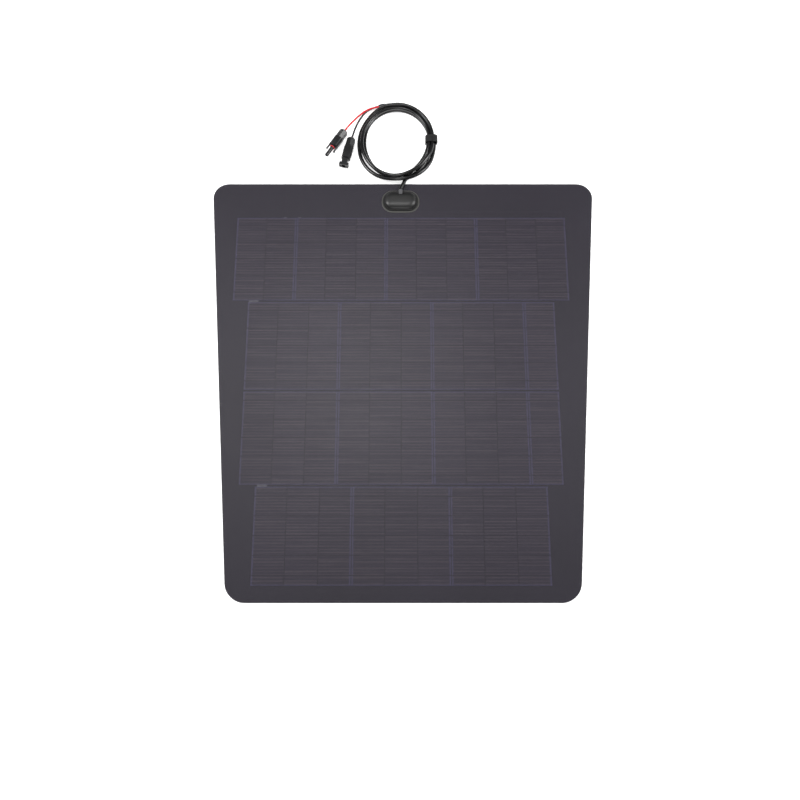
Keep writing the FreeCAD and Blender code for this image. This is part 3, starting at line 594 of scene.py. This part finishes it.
def row_left(row):
    return ARRAY_X - sum(ROWS[row]) * STRIP / 2


def row_bottom(row):
    array_top = ARRAY_Y + 2 * WAFER + 1.5 * ROW_GAP
    return array_top - (row + 1) * WAFER - row * ROW_GAP


class Cells:
    """Gathers strips and busbars of one wafer, with the numbers its finish reads."""

    def __init__(self):
        self.points, self.faces, self.slots, self.rim, self.tone = [], [], [], [], []

    def take(self, xs, ys, low, high, slot, rims, tone):
        points, faces = slab(lambda y: xs, ys, low, high, first=len(self.points))
        self.points += points
        self.faces += faces
        self.slots += [slot] * len(faces)
        self.rim += rims(points)
        self.tone += [tone] * len(points)


def strip_rims(left, right, bottom, top, left_is_rim, right_is_rim):
    """Each point's share of rim colour: 1 along the wafer's own rim, below 0 at a cut, 0 inside."""
    def rims(points):
        values = []
        for x, y, z in points:
            from_left, from_right = x - left, right - x
            value = 0.0
            for inward, is_rim in ((from_left, left_is_rim), (from_right, right_is_rim)):
                if is_rim and abs(inward - RIM_IN) < TOUCHING:
                    value = 1.0
                elif not is_rim and inward < TOUCHING:
                    value = -0.8
            if abs(y - top) < TOUCHING:
                value = 1.0
            if abs(y - bottom) < TOUCHING:
                value = max(value, 0.8)
            values.append(value)
        return values

    return rims


def wafer(row, number, first_strip, strips, low, high):
    """The strips of one wafer and the busbars across them."""
    cells = Cells()
    bottom = row_bottom(row)
    top = bottom + WAFER
    for k in range(strips):
        left = row_left(row) + (first_strip + k) * STRIP + STRIP_GAP / 2
        right = left + STRIP - STRIP_GAP
        left_is_rim, right_is_rim = k == 0, k == strips - 1
        near = [left + d for d in ((RIM_IN, RIM_SIDE) if left_is_rim else (CUT_SIDE,))]
        far = [right - d for d in ((RIM_SIDE, RIM_IN) if right_is_rim else (CUT_SIDE,))]
        xs = [left, *near, (left + right) / 2, *far, right]
        ys = [bottom] + steps(bottom + RIM_END, top - RIM_END, BEND_STEP) + [top]
        tone = random.uniform(0.1, 0.9)
        cells.take(xs, ys, low, high, 0,
                   strip_rims(left, right, bottom, top, left_is_rim, right_is_rim), tone)
        for share in BUSBARS:
            middle = bottom + WAFER * share
            cells.take([left, right], [middle - BUSBAR_WIDE / 2, middle + BUSBAR_WIDE / 2],
                       high, high + 0.08 * MM, 1, lambda points: [0.0] * len(points), tone)
    name = f"cells_row{row + 1}_wafer{number + 1}"
    thing = new_object("silicon_" + name, cells.points, cells.faces, [SILICON, BLACK_RIBBON],
                       face_slots=cells.slots)
    mesh = thing.data
    places = [c / MM for p, tone in zip(cells.points, cells.tone)
              for c in (p[0], p[1] - bottom, tone * 40.0 * MM)]
    mesh.attributes.new("place_mm", "FLOAT_VECTOR", "POINT").data.foreach_set("vector", places)
    mesh.attributes.new("rim", "FLOAT", "POINT").data.foreach_set("value", cells.rim)
    mesh.attributes.new("tone", "FLOAT", "POINT").data.foreach_set("value", cells.tone)
    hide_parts(name)
    bend_with_sheet(thing)


def all_cells():
    low, high = [corner[2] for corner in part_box("cells_row1_wafer1")]
    for row, wafers in enumerate(ROWS):
        first_strip = 0
        for number, strips in enumerate(wafers):
            wafer(row, number, first_strip, strips, low, high)
            first_strip += strips


# ---------------------------------------------------------------- ribbons behind the cells
RIBBON_WIDE = 5.0 * MM
RIBBON_THICK = 0.15 * MM
LINK_WIDE = 17.0 * MM
LINK_REACH = 14.0 * MM
RETURN_X = 75.0 * MM
TAPS_X = (-209.0 * MM, -183.0 * MM)
FROM_EDGE = 5.0 * MM
TAB_LONG = 10.0 * MM
TAB_WIDE = 6.0 * MM


def flat_strips(name, boxes, material, replaced):
    """Thin strips given as (left, right, bottom, top, low, high), cut short enough to bend."""
    points, faces = [], []
    for left, right, bottom, top, low, high in boxes:
        more_points, more_faces = slab(lambda y: [left, right], steps(bottom, top, BEND_STEP), low, high,
                                       first=len(points))
        points += more_points
        faces += more_faces
    thing = new_object(name, points, faces, [material])
    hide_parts(*replaced)
    bend_with_sheet(thing)


def link(x, y, high, wide=LINK_WIDE):
    return (x - wide / 2, x + wide / 2, y - LINK_REACH / 2, y + LINK_REACH / 2, high - RIBBON_THICK, high)


def copper():
    under_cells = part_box("cells_row1_wafer1")[0][2] - 0.01 * MM
    gap_below = [row_bottom(row) - ROW_GAP / 2 for row in range(3)]
    top_edge = row_bottom(0) + WAFER
    bright = [
        link(row_left(1) + 10.0 * MM, gap_below[0], under_cells),
        link(row_left(3) + 12.0 * MM, gap_below[2], under_cells),
    ]
    bright += [link(x, top_edge - FROM_EDGE, under_cells, RIBBON_WIDE) for x in TAPS_X]
    return_low = board_high[2] + 0.05 * MM
    coated = [
        link(row_left(2) + sum(ROWS[2]) * STRIP - 12.0 * MM, gap_below[1], under_cells),
        (RETURN_X, RETURN_X + RIBBON_WIDE, row_bottom(3) + 8.0 * MM, top_edge,
         return_low, return_low + RIBBON_THICK),
    ]
    behind = ["bus_ribbons_upper", "bus_ribbons_lower"]
    flat_strips("tinned_ribbons", bright, TINNED, behind)
    flat_strips("coated_ribbons", coated, BLACK_RIBBON, behind)

    tabs = []
    for row, wafers in enumerate(ROWS):
        for k in range(1, sum(wafers)):
            for share in BUSBARS:
                x = row_left(row) + k * STRIP
                y = row_bottom(row) + share * WAFER
                tabs.append((x - TAB_LONG / 2, x + TAB_LONG / 2, y - TAB_WIDE / 2, y + TAB_WIDE / 2,
                             under_cells - RIBBON_THICK, under_cells))
    flat_strips("strip_tabs", tabs, BLACK_RIBBON, ["cell_tabs_upper", "cell_tabs_lower"])


laminate()
all_cells()
copper()


# ---------------------------------------------------------------- junction box
def rounded_outline(half_long, half_deep, corner, count):
    """Points and outward directions evenly round a rounded rectangle."""
    straight_long, straight_deep = half_long - corner, half_deep - corner
    quarter = math.pi / 2 * corner
    legs = [(2 * straight_deep, 0), (2 * straight_long, 1), (2 * straight_deep, 2), (2 * straight_long, 3)]
    total = sum(leg + quarter for leg, _ in legs)
    starts = [Vector((half_long, -straight_deep)), Vector((straight_long, half_deep)),
              Vector((-half_long, straight_deep)), Vector((-straight_long, -half_deep))]
    centres = [Vector((straight_long, straight_deep)), Vector((-straight_long, straight_deep)),
               Vector((-straight_long, -straight_deep)), Vector((straight_long, -straight_deep))]
    result = []
    for k in range(count):
        far = total * k / count
        for leg, side in legs:
            out = Matrix.Rotation(math.pi / 2 * side, 2) @ Vector((1, 0))
            if far < leg:
                along = Matrix.Rotation(math.pi / 2, 2) @ out
                result.append((starts[side] + along * far, out))
                break
            far -= leg
            if far < quarter:
                turn = Matrix.Rotation(far / corner, 2) @ out
                result.append((centres[side] + turn * corner, turn))
                break
            far -= quarter
    return result


def sealant_bead():
    """A hand-tooled bead of sealant round the foot of the box, a little uneven."""
    low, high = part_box("box_base")
    middle = (low + high) / 2
    half_long, half_deep = (high[0] - low[0]) / 2, (high[1] - low[1]) / 2
    section = [(0.05, 0.0), (0.1, 0.5), (0.6, 0.8), (1.4, 0.85),
               (2.2, 0.65), (2.8, 0.35), (3.1, 0.1), (3.2, 0.0)]
    ring = rounded_outline(half_long, half_deep, BOX_CORNER, 200)
    points = []
    for place, out in ring:
        wobble = 1 + 0.10 * noise.noise(Vector((place.x, place.y, 0.3)) * 160)
        for reach, up in section:
            at = place + out * (reach * wobble * MM)
            points.append((middle.x + at.x, middle.y + at.y, film_high[2] + up * wobble * MM))
    size = len(section)
    faces = []
    for k in range(len(ring)):
        nxt = (k + 1) % len(ring)
        for j in range(size):
            up = (j + 1) % size
            faces.append((k * size + j, nxt * size + j, nxt * size + up, k * size + up))
    bead = new_object("bead_of_sealant", points, faces, [SEALANT], smooth=True)
    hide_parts("sealant_bead")
    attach(bead, "panel_upper")


def strain_relief():
    """A short grey rubber sleeve, ribbed and tapered, in the slot where the cable leaves the box."""
    low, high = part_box("cable_grommet")
    start = ((low[0] + high[0]) / 2, low[1], (low[2] + high[2]) / 2)
    long = (high[1] - low[1]) / MM
    profile = [(0.0, 3.6), (0.3, 3.95), (3.0, 3.98)]
    for k in range(3):
        at = 3.4 + k * 1.6
        profile += [(at, 3.95), (at + 0.25, 3.7), (at + 0.7, 3.7), (at + 0.95, 3.95)]
    profile += [(long - 0.9, 3.95), (long - 0.3, 3.85), (long, 3.6)]
    sleeve = turned("strain_relief", start, (0, 1, 0), [(d * MM, r * MM) for d, r in profile], GREY_RUBBER)
    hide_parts("cable_grommet")
    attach(sleeve, "panel_upper")


def domed_cover():
    """The box's cover: a pillow with long soft shoulders, hollow, with a slot for the strain relief."""
    low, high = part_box("box_cover")
    middle = (low + high) / 2
    half_long, half_deep = (high[0] - low[0]) / 2, (high[1] - low[1]) / 2
    ring = rounded_outline(half_long, half_deep, COVER_CORNER, 240)
    shoulder, wall = 12.0 * MM, 2.0 * MM
    rise = high[2] - low[2] - 0.25 * MM
    outside = [(0.0, low[2]), (0.0, low[2] + 0.15 * MM)]
    for k in range(1, 19):
        angle = math.radians(5 * k)
        outside.append((shoulder * (1 - math.cos(angle)), low[2] + 0.15 * MM + rise * math.sin(angle)))
    outside.append((shoulder + 2.0 * MM, high[2] - 0.02 * MM))
    inside = [(inset + wall, up - wall) for inset, up in outside if up - wall > low[2]]
    inside = [(wall, low[2])] + [(inset, up) for inset, up in inside if inset < 14.5 * MM]
    points, faces, size = [], [], len(ring)
    for inset, up in outside + list(reversed(inside)):
        for place, out in ring:
            at = place - out * inset
            points.append((middle.x + at.x, middle.y + at.y, up))
    rows = len(outside) + len(inside)
    for j in range(rows):
        nxt = (j + 1) % rows
        if j == len(outside) - 1:
            faces.append(tuple(j * size + k for k in range(size)))
            faces.append(tuple(nxt * size + k for k in reversed(range(size))))
            continue
        for k in range(size):
            after = (k + 1) % size
            faces.append((j * size + k, j * size + after, nxt * size + after, nxt * size + k))
    cover = new_object("domed_cover", points, faces, [BOX_PLASTIC], smooth=True)
    slot_low, slot_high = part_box("cable_grommet")
    clear, beyond = 0.15 * MM, 5.0 * MM
    cut_away(cover, (slot_low[0] - clear, slot_low[1] - clear, low[2] - 1 * MM),
             (slot_high[0] + clear, slot_high[1] + beyond, high[2] + 1 * MM))
    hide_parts("box_cover")
    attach(cover, "box_cover")


def cut_away(thing, low, high):
    """Cuts a block out of a piece."""
    corners = [(x, y, z) for z in (low[2], high[2]) for y in (low[1], high[1]) for x in (low[0], high[0])]
    sides = [(0, 2, 3, 1), (4, 5, 7, 6), (0, 1, 5, 4), (2, 6, 7, 3), (0, 4, 6, 2), (1, 3, 7, 5)]
    block = new_object("cutter", corners, sides, [])
    boolean = thing.modifiers.new("slot", "BOOLEAN")
    boolean.operation, boolean.object, boolean.solver = "DIFFERENCE", block, "EXACT"
    bpy.context.view_layer.update()
    result = bpy.data.meshes.new_from_object(thing.evaluated_get(bpy.context.evaluated_depsgraph_get()))
    thing.modifiers.clear()
    thing.data = result
    bpy.data.objects.remove(block)


sealant_bead()
strain_relief()
domed_cover()


# ---------------------------------------------------------------- strap round the coil
def coil_strap():
    """Hook-and-loop tape wrapped once and a quarter round the turns, its end standing off."""
    low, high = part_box("coil_strap")
    thick = 1.1 * MM
    left, right = low[0] + 0.6 * MM, high[0] - 2.6 * MM
    floor, top = 0.75 * MM, high[2] - 0.4 * MM
    corner = 4.5 * MM
    path = []

    def arc(x, z, first, last):
        for k in range(7):
            angle = math.radians(first + (last - first) * k / 6)
            path.append((x + corner * math.cos(angle), z + corner * math.sin(angle)))

    arc(right - corner, top - corner, 0, 90)
    arc(left + corner, top - corner, 90, 180)
    arc(left + corner, floor + corner, 180, 270)
    arc(right - corner, floor + corner, 270, 360)
    over = thick + 0.15 * MM
    path.append((right + over * 0.5, floor + corner + 2.5 * MM))
    path.append((right + over, top - corner))
    for k in range(1, 6):
        angle = math.radians(90 * k / 5)
        path.append((right - corner + (corner + over) * math.cos(angle),
                     top - corner + (corner + over) * math.sin(angle)))
    path += [(right - 5.5 * MM, top + over), (right - 6.5 * MM, top + over + 0.3 * MM)]
    points = []
    across = steps(low[1], high[1], 2.0 * MM)
    for i, (x, z) in enumerate(path):
        before, after = path[max(0, i - 1)], path[min(len(path) - 1, i + 1)]
        way = Vector((after[0] - before[0], after[1] - before[1])).normalized()
        out = Vector((way.y, -way.x))
        for y in across:
            ripple = 0.12 * MM * noise.noise(Vector((x, y, z)) * 300)
            points.append((x - out.x * (thick + ripple) / 2, y, z - out.y * (thick + ripple) / 2))
        for y in reversed(across):
            ripple = 0.12 * MM * noise.noise(Vector((x, y, z)) * 300)
            points.append((x + out.x * (thick + ripple) / 2, y, z + out.y * (thick + ripple) / 2))
    size = 2 * len(across)
    faces = []
    for i in range(len(path) - 1):
        for j in range(size):
            up = (j + 1) % size
            faces.append((i * size + j, (i + 1) * size + j, (i + 1) * size + up, i * size + up))
    faces.append(tuple(range(size)))
    faces.append(tuple(reversed(range((len(path) - 1) * size, len(path) * size))))
    strap = new_object("tape_strap", points, faces, [TAPE], smooth=True)
    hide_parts("coil_strap")
    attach(strap, "panel_upper")


coil_strap()


# ---------------------------------------------------------------- finishes of the CAD pieces
def finish_with(material, *names):
    for name in names:
        for each in nodes[name].material_slots:
            each.material = material


# The box base takes the darkened copy of the box plastic: painted shade for the black ring round the cover.
finish_with(BOX_BASE_PAINTED_SHADE_PLASTIC, "box_base")
finish_with(RUBBER, "cover_gasket", "probe_cable_seal", "shell_cable_seal")
finish_with(BLACK_RIBBON, "lead_positive", "lead_negative")
finish_with(TINNED, "terminal_positive", "terminal_negative", "probe_contact", "shell_contact")
finish_with(CONNECTOR_PLASTIC, "bypass_diode", "probe_housing", "shell_housing", "probe_cap_nut",
            "shell_cap_nut", "probe_clamp_cage", "shell_clamp_cage", "probe_finger_left", "probe_finger_right")
finish_with(RED_RUBBER, "probe_o_ring")


# ---------------------------------------------------------------- floor and light
def studio():
    """A pale floor under a room that is pale at eye level and dim above, with four soft boxes."""
    bpy.ops.mesh.primitive_plane_add(size=30.0, location=(0, 0, -0.0002))
    floor = bpy.context.object
    floor.name = "studio_floor"
    floor.data.materials.append(lit_floor())
    world = bpy.data.worlds.new("studio")
    world.use_nodes = True
    tree = world.node_tree
    way = add(tree, "ShaderNodeTexCoord").outputs["Generated"]
    up = add(tree, "ShaderNodeSeparateXYZ", {0: way}).outputs["Z"]
    height = add(tree, "ShaderNodeMapRange", {"Value": up, "From Min": 0.3, "From Max": 0.95}).outputs[0]
    background = tree.nodes["Background"]
    above = between(tree, height, colour("#2a2a2a"), colour("#929292"))
    horizon = spread_of(tree, up, 0.12, 0.3)
    tree.links.new(between(tree, horizon, colour("#e4e4e4"), above), background.inputs["Color"])
    bpy.context.scene.world = world
    for name, place, size, power in (
            ("overhead", (-0.14, 0.54, 1.7), 0.55, 8.7),
            ("left_panel", (-1.4, 0.5, 1.3), 0.6, 21.0),
            ("right_panel", (1.45, 0.5, 1.3), 0.6, 21.0),
            ("front_panel", (0.0, -1.9, 0.9), 1.2, 12.0)):
        light = bpy.data.lights.new(name, "AREA")
        light.shape = "SQUARE"
        light.size = size
        light.energy = power
        thing = bpy.data.objects.new(name, light)
        thing.location = place
        thing.rotation_euler = (-Vector(place)).to_track_quat("-Z", "Y").to_euler()
        bpy.context.collection.objects.link(thing)
    bpy.context.scene.view_settings.view_transform = "Standard"


studio()
